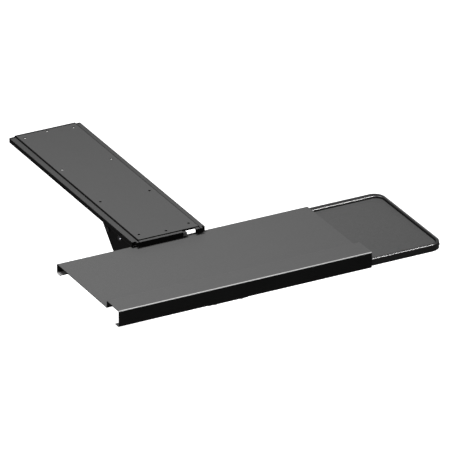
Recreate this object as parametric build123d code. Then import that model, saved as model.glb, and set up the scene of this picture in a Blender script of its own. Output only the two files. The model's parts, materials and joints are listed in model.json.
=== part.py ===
from build123d import *
import math
import os

# Keyboard tray that hangs under a desk: a track screwed to the desk, a carriage that slides in it,
# a swivelling lift arm and a steel platform with a mouse tray that slides out to the right.
# Millimetres. X to the right, Y towards the back of the desk, Z up.
# The origin is the centre of the track's top face, where it meets the desk.

# Clearances shared by all pieces
fit_gap = 0.08          # radial, shaft in its hole
face_gap = 0.1          # between flat faces that move past each other
slot_gap = 0.3          # round a stud in a curved slot
cut_over = 1.0          # how far a cutting tool runs past a face

# Track
track_length = 475.0
track_width = 141.0
track_sheet = 1.6
plateau_width = 119.0
plateau_rise = 2.2      # centre panel above the side strips
step_run = 0.3
wall_depth = 9.9
rail_lip = 9.0
track_bend = 0.9
ledge_depth = 6.0       # strip in front of the raised panel
ledge_width = 127.0
stop_wall_depth = 9.0
notch_start = 26.0
notch_width = 24.0
desk_hole_r = 2.4
desk_hole_spacing = 96.0
desk_hole_inset = 17.5
desk_hole_rows = 4
centre_hole_inset = 9.0

# Stops in the track
bumper_width = 7.0
bumper_height = 6.2
bumper_round = 1.0
stop_gap = 0.3
rear_bar_width = 100.0
rear_bar_foot = 12.0
rear_bar_depth = 8.2
rear_bumper_thick = 6.0
rear_bumper_height = 6.0

# Carriage
carriage_width = 126.0
carriage_length = 192.0
carriage_sheet = 2.5
carriage_corner = 6.0
carriage_travel = 165.0
carriage_front_back = 16.0   # carriage's front edge behind the track's front edge
shoe_length = 44.0
shoe_inner_width = 104.0
shoe_gap = 0.3
shoe_corner = 1.2
disc_r = 45.0
disc_thick = 4.5

# Swivel joint
bolt_r = 6.0
bolt_head_r = 10.0
bolt_head_height = 3.0
washer_r = 13.0
washer_thick = 1.5
nut_r = 9.5
nut_height = 5.0
bolt_tail = 1.2
bracket_drop = 1.0           # bracket's top below the track's lower edge

# Swivel bracket, its wings and its pins. "back" is behind the track's front edge,
# "drop" is below the side strips.
bracket_width = 84.0
bracket_sheet = 2.5
bracket_bend = 3.0
bracket_front_back = 56.0
bracket_rear_back = 194.5
wing_front_back = 68.0
wing_front_drop = 42.0
wing_front_r = 10.0
wing_tip_r = 16.0
lift_pivot_back = 140.0
lift_pivot_drop = 30.0
guide_back = 103.3
guide_drop = 43.0
link_offset_y = 6.2
link_offset_z = -14.8
lift_range = 40.0
slot_spare = 1.0             # degrees past each end of a curved slot

# Lift arm and its fittings
shaft_r = 4.0
shaft_tail = 2.5
ring_r = 7.0
ring_thick = 1.0
arm_side_gap = 0.9
arm_sheet = 2.5
arm_bend = 3.0
arm_end_r = 9.0
arm_guide_r = 8.0
arm_depth = 30.0
arm_web_rear = 14.0
arm_web_front = 16.0
friction_washer_r = 12.0
pad_r = 8.0
rivet_r = 2.6
rivet_head_r = 5.4
rivet_head_height = 3.0
arm_front_back = 23.5
arm_front_drop = 40.4

# Levelling link
pin_r = 3.0
pin_head_r = 4.6
pin_head_height = 1.5
hub_r = 5.5
link_bar_width = 10.0
link_bar_height = 9.0
hub_side_gap = 0.3

# Tilt head
head_side_gap = 4.1          # between the arm's side and the head
head_sheet = 2.5
head_pivot_r = 8.0
head_link_r = 9.5
head_tilt_r = 7.0
head_clamp_r = 10.0
spacer_r = 7.5
tilt_pivot_back = -2.0
tilt_pivot_drop = 44.4
tilt_clamp_y = 6.0           # clamp screw from the tilt pivot
tilt_clamp_z = -19.1
tilt_down = 15.0             # rear edge down
tilt_up = 10.0               # rear edge up

# Clamp knobs
knob_r = 17.0
knob_thick = 13.0
knob_hub_r = 9.0
knob_hub_height = 3.0
knob_lobes = 6
knob_scallop_r = 6.0
knob_edge = 1.5
stud_r = 3.0
clamp_washer_r = 8.0
clamp_washer_thick = 1.0
weld_nut_r = 5.8
weld_nut_height = 5.5

# Platform
platform_width = 485.5
platform_depth = 233.5
platform_offset = 31.85      # platform's middle to the right of the arm
platform_overlap = 7.5       # rear edge behind the track's front edge
platform_gap = 2.0           # main panel below the track's lower edge
platform_sheet = 1.5
platform_bend = 1.6
strip_depth = 45.4
strip_rise = 12.3
skirt_height = 30.5
front_lip = 13.5
rear_lip = 12.0

# Platform bracket
cradle_side_gap = 3.5        # between the head and the bracket's ear
cradle_sheet = 2.5
cradle_bend = 3.0
cradle_front_inset = 4.8
cradle_rear_inset = 3.6
cradle_flange = 10.0
cradle_flange_run = 24.0     # over which the flanges grow to their full depth
ear_r = 10.0
ear_slot_r = 8.5
ear_root = 24.0
cradle_screw_edge = 13.0     # from the bracket's side
cradle_screw_front = 7.2     # from the platform's front and rear faces
cradle_screw_rear = 8.6
screw_r = 2.0
screw_head_r = 3.9
screw_head_height = 1.9
screw_relief = 0.1

# Mouse tray
tray_width = 251.8
tray_reach = 142.5           # right end of the tray beyond the platform
tray_travel = 138.0
tray_side_gap = 0.8
tray_top_gap = 0.5
tray_height = 13.4
tray_corner = 22.0
tray_inner_corner = 4.0
rim_width = 6.0
rim_height = 3.8
rim_rear_extra = 3.5         # the rear rim is wider than the others
rim_round = 2.6
tray_floor = 2.2
mat_thick = 1.0
mat_gap = 0.2
tray_wall = 3.0
tray_rib = 2.0
tray_rib_count = 4
tray_rib_drop = 4.0
tray_rib_inset = 12.0
glide_width = 3.0
glide_margin = 6.0
stop_pin_r = 2.0
stop_pin_height = 5.0
stop_pin_inset = 7.7

# Places worked out from the sizes above
front_y = -track_length / 2
rear_y = track_length / 2
strip_z = -plateau_rise
track_bottom_z = strip_z - wall_depth
lip_top_z = track_bottom_z + track_sheet
channel_half = track_width / 2 - track_sheet


def place(back, drop):
    """Y and Z of a point behind the track's front edge and below its side strips."""
    return (front_y + back, strip_z - drop)


def shift(point, move):
    """A point moved by a Y and Z distance."""
    return (point[0] + move[0], point[1] + move[1])


def polar(centre, radius, degrees):
    """A point on a circle in the side view."""
    turn = math.radians(degrees)
    return (centre[0] + radius * math.cos(turn), centre[1] + radius * math.sin(turn))


def bearing(start, end):
    """Angle in the side view from one point to another, in degrees."""
    return math.degrees(math.atan2(end[1] - start[1], end[0] - start[0]))


link_move = (link_offset_y, link_offset_z)
lift_pivot = place(lift_pivot_back, lift_pivot_drop)
guide_point = place(guide_back, guide_drop)
arm_front = place(arm_front_back, arm_front_drop)
link_rear = shift(lift_pivot, link_move)
link_front = shift(arm_front, link_move)
tilt_pivot = place(tilt_pivot_back, tilt_pivot_drop)
tilt_clamp = shift(tilt_pivot, (tilt_clamp_y, tilt_clamp_z))
guide_swing_r = math.dist(lift_pivot, guide_point)
tilt_swing_r = math.dist(tilt_pivot, tilt_clamp)
guide_low = polar(lift_pivot, guide_swing_r, bearing(lift_pivot, guide_point) + lift_range)

carriage_front_y = front_y + carriage_front_back
carriage_rear_y = carriage_front_y + carriage_length
swivel_y = (carriage_front_y + carriage_rear_y) / 2
bracket_top_z = track_bottom_z - bracket_drop
bracket_half = bracket_width / 2
carriage_z = bracket_top_z + face_gap + disc_thick
carriage_top_z = carriage_z + carriage_sheet
arm_half = bracket_half - bracket_sheet - arm_side_gap
head_half = arm_half - arm_sheet - head_side_gap
head_width = 2 * head_half
cradle_half = head_half + cradle_side_gap + cradle_sheet
cradle_width = 2 * cradle_half

main_top_z = track_bottom_z - platform_gap
strip_top_z = main_top_z + strip_rise
platform_bottom_z = strip_top_z - skirt_height
platform_rear_y = front_y + platform_overlap
platform_front_y = platform_rear_y - platform_depth
platform_left_x = platform_offset - platform_width / 2
platform_right_x = platform_offset + platform_width / 2
platform_lip_z = platform_bottom_z + platform_sheet

tray_right_x = platform_right_x + tray_reach
tray_left_x = tray_right_x - tray_width
tray_front_y = platform_front_y + platform_sheet + tray_side_gap
tray_rear_y = platform_rear_y - platform_sheet - tray_side_gap
tray_top_z = main_top_z - platform_sheet - tray_top_gap
tray_bottom_z = tray_top_z - tray_height
tray_surface_z = tray_top_z - rim_height
mat_seat_z = tray_surface_z - mat_thick


def block(x_range, y_range, z_range):
    """Box between two values on each axis."""
    size = [max(r) - min(r) for r in (x_range, y_range, z_range)]
    middle = [(r[0] + r[1]) / 2 for r in (x_range, y_range, z_range)]
    return Pos(*middle) * Box(*size)


def rod_x(radius, x_start, x_end, point):
    """Round bar along X through a side view point."""
    bar = Rot(0, 90, 0) * Cylinder(radius, abs(x_end - x_start))
    return Pos((x_start + x_end) / 2, point[0], point[1]) * bar


def rod_z(radius, z_start, z_end, x, y):
    """Round bar along Z."""
    return Pos(x, y, (z_start + z_end) / 2) * Cylinder(radius, abs(z_end - z_start))


def ring_x(outer_r, inner_r, x_start, x_end, point):
    """Flat ring or tube along X."""
    return rod_x(outer_r, x_start, x_end, point) - rod_x(inner_r, x_start, x_end, point)


def side_plate(sketch, x_start, x_end):
    """A side view sketch given a thickness along X."""
    return extrude(Plane.YZ.offset(min(x_start, x_end)) * sketch, amount=abs(x_end - x_start))


def disc_at(point, radius):
    """Circle in the side view."""
    return Pos(point[0], point[1]) * Circle(radius)


def side_rectangle(y_range, z_range):
    """Rectangle in the side view."""
    middle = Pos(sum(y_range) / 2, sum(z_range) / 2)
    return middle * Rectangle(max(y_range) - min(y_range), max(z_range) - min(z_range))


def hull_of(*shapes):
    """Convex outline round side view shapes."""
    edges = []
    for shape in shapes:
        edges += shape.edges()
    return make_hull(edges)


def curved_slot(centre, radius, start, end, half_width):
    """Slot that follows a circle about a pivot, ends in degrees."""
    line = CenterArc(centre, radius, start - slot_spare, end - start + 2 * slot_spare)
    return SlotArc(line, 2 * half_width)


def channel(width, depth, sheet, bend, start, direction, length):
    """Folded channel, open below, with its top face through the start point."""
    side = (width - sheet) / 2
    path = FilletPolyline(
        (-side, -depth), (-side, -sheet / 2), (side, -sheet / 2), (side, -depth), radius=bend
    )
    plane = Plane(
        origin=(0, start[0], start[1]), x_dir=(1, 0, 0), z_dir=(0, direction[0], direction[1])
    )
    return extrude(plane * trace(path, line_width=sheet), amount=length)


def both_sides(solid):
    """The solid and its mirror image in the middle plane, as separate solids."""
    return [solid, mirror(solid, about=Plane.YZ)]


# Track

def desk_hole_places():
    """Screw holes: rows across the panel and one at the middle of each end."""
    pitch = (track_length - 2 * desk_hole_inset) / (desk_hole_rows - 1)
    spots = []
    for row in range(desk_hole_rows):
        y = front_y + desk_hole_inset + row * pitch
        spots += [(-desk_hole_spacing / 2, y), (desk_hole_spacing / 2, y)]
    spots += [(0, front_y + centre_hole_inset), (0, rear_y - centre_hole_inset)]
    return spots


def make_track():
    half = track_width / 2 - track_sheet / 2
    panel = plateau_width / 2
    strip_mid = strip_z - track_sheet / 2
    lip_mid = track_bottom_z + track_sheet / 2
    right = [
        (panel - step_run, -track_sheet / 2),
        (panel, strip_mid),
        (half, strip_mid),
        (half, lip_mid),
        (half + track_sheet / 2 - rail_lip, lip_mid),
    ]
    left = [(-x, z) for x, z in reversed(right)]
    path = FilletPolyline(*left, *right, radius=track_bend)
    face = Plane.XZ.offset(-rear_y) * trace(path, line_width=track_sheet)
    track = extrude(face, amount=track_length)
    riser_half = panel - step_run
    track += block((-riser_half, riser_half), (front_y, front_y + track_sheet), (strip_z - track_sheet, 0))
    ledge_front = front_y - ledge_depth
    ledge_half = ledge_width / 2
    track += block((-ledge_half, ledge_half), (ledge_front, front_y + track_sheet),
                   (strip_z - track_sheet, strip_z))
    track += block((-ledge_half, ledge_half), (ledge_front, ledge_front + track_sheet),
                   (strip_z - stop_wall_depth, strip_z))
    notch = (notch_start, notch_start + notch_width)
    track -= block(notch, (ledge_front - cut_over, front_y), (strip_z - stop_wall_depth - cut_over, 0))
    for x, y in desk_hole_places():
        track -= rod_z(desk_hole_r, -track_sheet - cut_over, cut_over, x, y)
    return track


def make_front_bumpers():
    """Two rubber buffers on the stop wall that the carriage's front edge meets."""
    rear = carriage_front_y - stop_gap
    top = strip_z - track_sheet - face_gap
    levels = (top - bumper_height, top)
    ledge_front = front_y - ledge_depth
    right = block((notch_start, notch_start + bumper_width), (ledge_front, rear), levels)
    left = block((-notch_start - bumper_width, -notch_start), (ledge_front + track_sheet, rear), levels)
    return [rounded_end(buffer, Axis.Y) for buffer in (right, left)]


def rounded_end(buffer, axis):
    """Rubber buffer with the edges of its far face rounded."""
    return fillet(buffer.faces().sort_by(axis)[-1].edges(), bumper_round)


rear_bumper_y = carriage_rear_y + carriage_travel + stop_gap
panel_under_z = -track_sheet


def make_rear_stop():
    """Angle bar welded under the panel."""
    half = rear_bar_width / 2
    face = rear_bumper_y + rear_bumper_thick
    bar = block((-half, half), (face, face + track_sheet), (panel_under_z - rear_bar_depth, panel_under_z))
    foot = block((-half, half), (face, face + rear_bar_foot), (panel_under_z - track_sheet, panel_under_z))
    return bar + foot


def make_rear_bumper():
    """Rubber strip on the front of the rear stop."""
    half = rear_bar_width / 2 - bumper_width
    bottom = panel_under_z - rear_bar_depth
    face = rear_bumper_y + rear_bumper_thick
    strip = block((-half, half), (rear_bumper_y, face), (bottom, bottom + rear_bumper_height))
    return rounded_end(strip, -Axis.Y)


# Carriage

def make_carriage():
    """Flat plate that the four shoes carry between the track's lips."""
    outline = RectangleRounded(carriage_width, carriage_length, carriage_corner)
    plate = extrude(Pos(0, swivel_y, carriage_z) * outline, amount=carriage_sheet)
    for y in (carriage_front_y + shoe_length, carriage_rear_y - shoe_length):
        slot = SlotOverall(disc_r * 2, bolt_head_r)
        plate -= extrude(Pos(0, y, carriage_z) * slot, amount=carriage_sheet)
    return plate - rod_z(bolt_r + fit_gap, carriage_z, carriage_top_z, 0, swivel_y)


def make_shoes():
    """Nylon shoes on the plate's long edges, grooved for the plate."""
    outer = channel_half - shoe_gap
    bottom = lip_top_z + shoe_gap
    top = strip_z - track_sheet - shoe_gap
    shoes = []
    for start in (carriage_front_y + carriage_corner, carriage_rear_y - carriage_corner - shoe_length):
        span = (start, start + shoe_length)
        shoe = block((shoe_inner_width / 2, outer), span, (bottom, top))
        shoe = fillet(shoe.edges().filter_by(Axis.Z), shoe_corner)
        shoe -= block((0, carriage_width / 2), (span[0] - cut_over, span[1] + cut_over),
                      (carriage_z, carriage_top_z))
        shoes += both_sides(shoe)
    return shoes


def make_disc():
    """Nylon disc that the bracket turns against."""
    disc = rod_z(disc_r, carriage_z - disc_thick, carriage_z, 0, swivel_y)
    return disc - rod_z(bolt_r + fit_gap, carriage_z - disc_thick, carriage_z, 0, swivel_y)


bracket_under_z = bracket_top_z - bracket_sheet
washer_top_z = bracket_under_z - face_gap
nut_top_z = washer_top_z - washer_thick


def make_swivel_bolt():
    """Low-headed bolt, head on the carriage."""
    tip = nut_top_z - nut_height - bolt_tail
    head = rod_z(bolt_head_r, carriage_top_z, carriage_top_z + bolt_head_height, 0, swivel_y)
    head = chamfer(head.edges().group_by(Axis.Z)[-1], bolt_head_height / 3)
    return head + rod_z(bolt_r, tip, carriage_top_z, 0, swivel_y)


def make_swivel_washer():
    washer = rod_z(washer_r, nut_top_z, washer_top_z, 0, swivel_y)
    return washer - rod_z(bolt_r + fit_gap, nut_top_z, washer_top_z, 0, swivel_y)


def make_swivel_nut():
    nut = extrude(Pos(0, swivel_y, nut_top_z - nut_height) * RegularPolygon(nut_r, 6), amount=nut_height)
    return nut - rod_z(bolt_r + fit_gap, nut_top_z - nut_height, nut_top_z, 0, swivel_y)


# Swivel bracket

bracket_front_y = front_y + bracket_front_back
bracket_rear_y = front_y + bracket_rear_back


def make_bracket():
    """Folded plate whose two wings carry the arm; the right wing has the clamp's curved slot."""
    depth = bracket_top_z - guide_low[1] + wing_tip_r + cut_over
    body = channel(bracket_width, depth, bracket_sheet, bracket_bend,
                   (bracket_rear_y, bracket_top_z), (-1, 0), bracket_rear_y - bracket_front_y)
    top = side_rectangle((bracket_front_y, bracket_rear_y), (bracket_under_z, bracket_top_z))
    front = disc_at(place(wing_front_back, wing_front_drop), wing_front_r)
    side = hull_of(top, front, disc_at(guide_low, wing_tip_r))
    body &= side_plate(side, -bracket_half, bracket_half)
    start = bearing(lift_pivot, guide_point)
    slot = curved_slot(lift_pivot, guide_swing_r, start, start + lift_range, stud_r + slot_gap)
    body -= side_plate(slot, 0, bracket_half + cut_over)
    body -= rod_x(rivet_r + fit_gap, -bracket_half - cut_over, 0, guide_point)
    body -= rod_x(shaft_r + fit_gap, -bracket_width, bracket_width, lift_pivot)
    body -= rod_x(pin_r + fit_gap, -bracket_width, bracket_width, link_rear)
    return body - rod_z(bolt_r + fit_gap, bracket_under_z, bracket_top_z, 0, swivel_y)


def make_shaft(half_width, point):
    """Plain shaft that ends just past its retaining rings."""
    half = half_width + shaft_tail
    return rod_x(shaft_r, -half, half, point)


def make_rings(half_width, point):
    """Retaining rings at both ends of a shaft."""
    start = half_width + face_gap
    ring = ring_x(ring_r, shaft_r + fit_gap, start, start + ring_thick, point)
    return both_sides(ring)


def make_pin(half_width, point):
    """Pin with a flat head at each end."""
    half = half_width + face_gap
    pin = rod_x(pin_r, -half, half, point)
    for solid in both_sides(rod_x(pin_head_r, half, half + pin_head_height, point)):
        pin += solid
    return pin


def make_friction_washers():
    """Nylon washers between the wings and the arm."""
    inner = arm_half + face_gap
    outer = bracket_half - bracket_sheet - face_gap
    washer = ring_x(friction_washer_r, shaft_r + fit_gap, inner, outer, lift_pivot)
    return both_sides(washer)


# Lift arm

arm_length = math.dist(lift_pivot, arm_front)
arm_direction = [(arm_front[i] - lift_pivot[i]) / arm_length for i in range(2)]
arm_up = (arm_direction[1], -arm_direction[0])


def along_arm(distance, height):
    """Point in the side view at a distance from the lift pivot and above the arm's centre line."""
    return tuple(lift_pivot[i] + arm_direction[i] * distance + arm_up[i] * height for i in range(2))


def make_arm():
    """Folded channel from the lift pivot to the tilt head, open below for the link."""
    start = along_arm(-arm_end_r, arm_end_r)
    body = channel(2 * arm_half, arm_depth, arm_sheet, arm_bend, start, arm_direction,
                   arm_length + 2 * arm_end_r)
    side = hull_of(disc_at(lift_pivot, arm_end_r), disc_at(guide_point, arm_guide_r),
                   disc_at(arm_front, arm_end_r))
    body &= side_plate(side, -arm_half, arm_half)
    open_half = arm_half - arm_sheet
    for near, far in ((-arm_depth, arm_web_rear), (arm_length - arm_web_front, arm_length + arm_depth)):
        middle = along_arm((near + far) / 2, 0)
        window = Rot(0, 0, bearing(lift_pivot, arm_front)) * Rectangle(far - near, 2 * arm_depth)
        body -= side_plate(Pos(*middle) * window, -open_half, open_half)
    body -= rod_x(shaft_r + fit_gap, -bracket_width, bracket_width, lift_pivot)
    body -= rod_x(shaft_r + fit_gap, -bracket_width, bracket_width, arm_front)
    return body - rod_x(stud_r + fit_gap, 0, bracket_width, guide_point)


def make_side_pad():
    """Nylon pad inside the left wing that the arm slides against."""
    outer = bracket_sheet - bracket_half
    return ring_x(pad_r, rivet_r + fit_gap, outer, -arm_half - face_gap, guide_point)


def make_side_rivet():
    """Domed rivet that holds the pad to the left wing."""
    face = bracket_half
    shank = rod_x(rivet_r, -face, -arm_half - 2 * face_gap, guide_point)
    ball_r = (rivet_head_r ** 2 + rivet_head_height ** 2) / (2 * rivet_head_height)
    ball = Pos(ball_r - face - rivet_head_height, *guide_point) * Sphere(ball_r)
    dome = ball & rod_x(rivet_head_r, -face - rivet_head_height, -face, guide_point)
    return shank + dome


def make_weld_nut(face_x, inward, point):
    """Hexagonal nut welded inside a plate."""
    end_x = face_x + inward * weld_nut_height
    nut = side_plate(Pos(*point) * RegularPolygon(weld_nut_r, 6), face_x, end_x)
    return nut - rod_x(stud_r + fit_gap, face_x, end_x, point)


def make_clamp_washer(face_x, outward, point):
    start = face_x + outward * face_gap
    return ring_x(clamp_washer_r, stud_r + fit_gap, start, start + outward * clamp_washer_thick, point)


def knob_face(face_x, outward):
    """Inner face of a knob that bears on its washer."""
    return face_x + outward * (clamp_washer_thick + 2 * face_gap)


def make_knob(face_x, outward, point):
    """Scalloped hand knob with a hub, bored for its screw."""
    start = knob_face(face_x, outward)
    rim_start = start + outward * knob_hub_height
    end = rim_start + outward * knob_thick
    outline = Circle(knob_r)
    scallop = Pos(knob_r + knob_scallop_r / 2, 0) * Circle(knob_scallop_r)
    for turn in range(knob_lobes):
        outline -= Rot(0, 0, turn * 360 / knob_lobes) * scallop
    rim = side_plate(Pos(*point) * outline, rim_start, end)
    rim = fillet(rim.faces().sort_by(Axis.X)[-1 if outward > 0 else 0].edges(), knob_edge)
    knob = rim + rod_x(knob_hub_r, start, rim_start, point)
    depth = rim_start + outward * knob_thick / 2
    return knob - rod_x(stud_r, start, depth, point)


def make_clamp_screw(nut_end_x, face_x, outward, point):
    """Screw fixed in the knob that reaches into the weld nut."""
    end = knob_face(face_x, outward) + outward * (knob_hub_height + knob_thick / 2)
    return rod_x(stud_r, nut_end_x, end, point)


# Levelling link

def make_link():
    """Flat bar with a tube at each end."""
    rear_half = arm_half - arm_sheet - hub_side_gap
    front_half = head_half - head_sheet - hub_side_gap
    length = math.dist(link_rear, link_front)
    middle = shift(link_rear, ((link_front[0] - link_rear[0]) / 2, (link_front[1] - link_rear[1]) / 2))
    bar = Pos(*middle) * Rot(0, 0, bearing(link_rear, link_front)) * Rectangle(length, link_bar_height)
    link = side_plate(bar, -link_bar_width / 2, link_bar_width / 2)
    link += rod_x(hub_r, -rear_half, rear_half, link_rear)
    link += rod_x(hub_r, -front_half, front_half, link_front)
    for point in (link_rear, link_front):
        link -= rod_x(pin_r + fit_gap, -rear_half, rear_half, point)
    return link


# Tilt head

def make_head():
    """Two cheeks joined by a web below, open behind for the link; stays level as the arm swings."""
    side = hull_of(disc_at(arm_front, head_pivot_r), disc_at(link_front, head_link_r),
                   disc_at(tilt_pivot, head_tilt_r), disc_at(tilt_clamp, head_clamp_r))
    head = side_plate(side, -head_half, head_half)
    inner_half = head_half - head_sheet
    hollow = hull_of(Pos(0, head_sheet) * side, Pos(0, head_width) * side)
    head -= side_plate(hollow, -inner_half, inner_half)
    rear = (link_front[0], link_front[0] + head_width)
    head -= block((-inner_half, inner_half), rear, (link_front[1] - head_width, link_front[1] + head_sheet))
    head -= rod_x(shaft_r + fit_gap, -head_width, head_width, arm_front)
    head -= rod_x(shaft_r + fit_gap, -head_width, head_width, tilt_pivot)
    head -= rod_x(pin_r + fit_gap, -head_width, head_width, link_front)
    return head - rod_x(stud_r + fit_gap, -head_width, 0, tilt_clamp)


def make_spacers(inner_half, outer_half, point):
    """Nylon spacers beside the tilt head."""
    spacer = ring_x(spacer_r, shaft_r + fit_gap, inner_half + face_gap, outer_half - face_gap, point)
    return both_sides(spacer)


# Platform bracket

cradle_top_z = platform_bottom_z
cradle_front_y = platform_front_y + cradle_front_inset
cradle_rear_y = platform_rear_y - cradle_rear_inset


def cradle_screw_places():
    half = cradle_half - cradle_screw_edge
    rows = (platform_front_y + cradle_screw_front, platform_rear_y - cradle_screw_rear)
    return [(x, y) for y in rows for x in (-half, half)]


def make_cradle():
    """Folded plate under the platform's lips, with two ears for the tilt shaft."""
    length = cradle_rear_y - cradle_front_y
    depth = cradle_top_z - tilt_clamp[1] + ear_slot_r + cut_over
    body = channel(cradle_width, depth, cradle_sheet, cradle_bend,
                   (cradle_rear_y, cradle_top_z), (-1, 0), length)
    toe = (cradle_front_y, cradle_front_y + cradle_sheet)
    heel = (cradle_front_y + cradle_flange_run, cradle_rear_y)
    flange = hull_of(side_rectangle(toe, (cradle_top_z - cradle_sheet, cradle_top_z)),
                     side_rectangle(heel, (cradle_top_z - cradle_flange, cradle_top_z)))
    centre = bearing(tilt_pivot, tilt_clamp)
    start = centre - tilt_up
    end = centre + tilt_down
    root = side_rectangle((cradle_rear_y - ear_root, cradle_rear_y),
                          (cradle_top_z - cradle_sheet, cradle_top_z))
    slot_ends = [polar(tilt_pivot, tilt_swing_r, angle) for angle in (start, end)]
    ear = hull_of(root, disc_at(tilt_pivot, ear_r), *[disc_at(point, ear_slot_r) for point in slot_ends])
    body &= side_plate(flange + ear, -cradle_half, cradle_half)
    slot = curved_slot(tilt_pivot, tilt_swing_r, start, end, stud_r + slot_gap)
    body -= side_plate(slot, -cradle_half - cut_over, 0)
    body -= rod_x(shaft_r + fit_gap, -cradle_width, cradle_width, tilt_pivot)
    for x, y in cradle_screw_places():
        body -= sunk_screw(fit_gap, x, y)
    return body


def sunk_screw(spare, x, y):
    """Countersunk screw from below, or the hole for it."""
    under = cradle_top_z - cradle_sheet
    head = Cone(screw_head_r + spare, screw_r + spare, screw_head_height)
    return Pos(x, y, under + screw_head_height / 2) * head + rod_z(
        screw_r + spare, under, platform_lip_z - screw_relief, x, y
    )


def make_cradle_screws():
    """Four flush screws that hold the bracket to the platform's lips."""
    return [sunk_screw(0, x, y) for x, y in cradle_screw_places()]


# Platform

def make_platform():
    """One bent sheet: return lips, skirt, raised strip, main panel and rear wall."""
    half = platform_sheet / 2
    front = platform_front_y + half
    rear = platform_rear_y - half
    riser = platform_front_y + strip_depth - half
    low = platform_bottom_z + half
    path = FilletPolyline(
        (platform_front_y + front_lip, low),
        (front, low),
        (front, strip_top_z - half),
        (riser, strip_top_z - half),
        (riser, main_top_z - half),
        (rear, main_top_z - half),
        (rear, low),
        (platform_rear_y - rear_lip, low),
        radius=platform_bend,
    )
    sheet = side_plate(trace(path, line_width=platform_sheet), platform_left_x, platform_right_x)
    for x, y in cradle_screw_places():
        sheet -= rod_z(screw_r + fit_gap, platform_bottom_z, platform_lip_z, x, y)
    for x, y in stop_pin_places():
        sheet -= rod_z(stop_pin_r + fit_gap, platform_bottom_z, platform_lip_z, x, y)
    return sheet


# Mouse tray

def stop_pin_places():
    """Pins on the lips that the tray's left wall meets when the tray is out."""
    x = tray_left_x + tray_wall + stop_gap + stop_pin_r
    return [(x, platform_front_y + stop_pin_inset), (x, platform_rear_y - stop_pin_inset)]


def make_stop_pins():
    pins = []
    for x, y in stop_pin_places():
        pins.append(rod_z(stop_pin_r, platform_bottom_z, platform_lip_z + stop_pin_height, x, y))
    return pins


def tray_outline(inset, rear_extra=0):
    """Plan of the tray, drawn in by an inset: large corners right, small ones left."""
    x_start = tray_left_x + inset
    x_end = tray_right_x - inset
    y_start = tray_front_y + inset
    y_end = tray_rear_y - inset - rear_extra
    plan = Pos((x_start + x_end) / 2, (y_start + y_end) / 2) * Rectangle(x_end - x_start, y_end - y_start)
    right = plan.vertices().group_by(Axis.X)[-1]
    plan = fillet(right, tray_corner - inset)
    left = plan.vertices().group_by(Axis.X)[0]
    return fillet(left, tray_inner_corner - inset / 2)


def layer(plan, z_start, z_end):
    """A plan given a height."""
    return extrude(Pos(0, 0, z_start) * plan, amount=z_end - z_start)


def make_tray():
    """Moulded tray: rounded raised rim, sunk top, hollow ribbed underside."""
    body = layer(tray_outline(0), tray_bottom_z, tray_top_z)
    body -= layer(tray_outline(rim_width, rim_rear_extra), mat_seat_z, tray_top_z)
    body = fillet(body.faces().sort_by(Axis.Z)[-1].edges(), rim_round)
    floor_z = mat_seat_z - tray_floor
    body -= layer(tray_outline(tray_wall), tray_bottom_z, floor_z)
    low = floor_z - tray_rib_drop
    x_span = (tray_left_x + tray_wall, tray_right_x - tray_wall)
    y_span = (tray_front_y + tray_rib_inset, tray_rear_y - tray_rib_inset)
    pitch = (y_span[1] - y_span[0] - tray_rib) / (tray_rib_count - 1)
    ribs = []
    for i in range(tray_rib_count):
        y = y_span[0] + i * pitch
        ribs.append(block(x_span, (y, y + tray_rib), (low, floor_z)))
    inner = (x_span[0] + tray_corner, x_span[1] - tray_corner)
    step = (inner[1] - inner[0] - tray_rib) / (tray_rib_count - 1)
    for i in range(tray_rib_count):
        x = inner[0] + i * step
        ribs.append(block((x, x + tray_rib), y_span, (low, floor_z)))
    for rib in ribs:
        body += rib & layer(tray_outline(tray_wall / 2), low, floor_z)
    return body


def make_mat():
    """Textured sheet that lies inside the rim."""
    return layer(tray_outline(rim_width + mat_gap, rim_rear_extra), mat_seat_z, tray_surface_z)


def make_glides():
    """Low-friction rails under the tray's walls, along the part that stays in the platform."""
    span = (tray_left_x + glide_margin, platform_right_x - glide_margin)
    levels = (platform_lip_z + face_gap, tray_bottom_z)
    front = block(span, (tray_front_y, tray_front_y + glide_width), levels)
    rear = block(span, (tray_rear_y - glide_width, tray_rear_y), levels)
    return [front, rear]


lift_nut_face = arm_half - arm_sheet
lift_nut_end = lift_nut_face - weld_nut_height
tilt_nut_face = head_sheet - head_half
tilt_nut_end = tilt_nut_face + weld_nut_height

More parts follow.
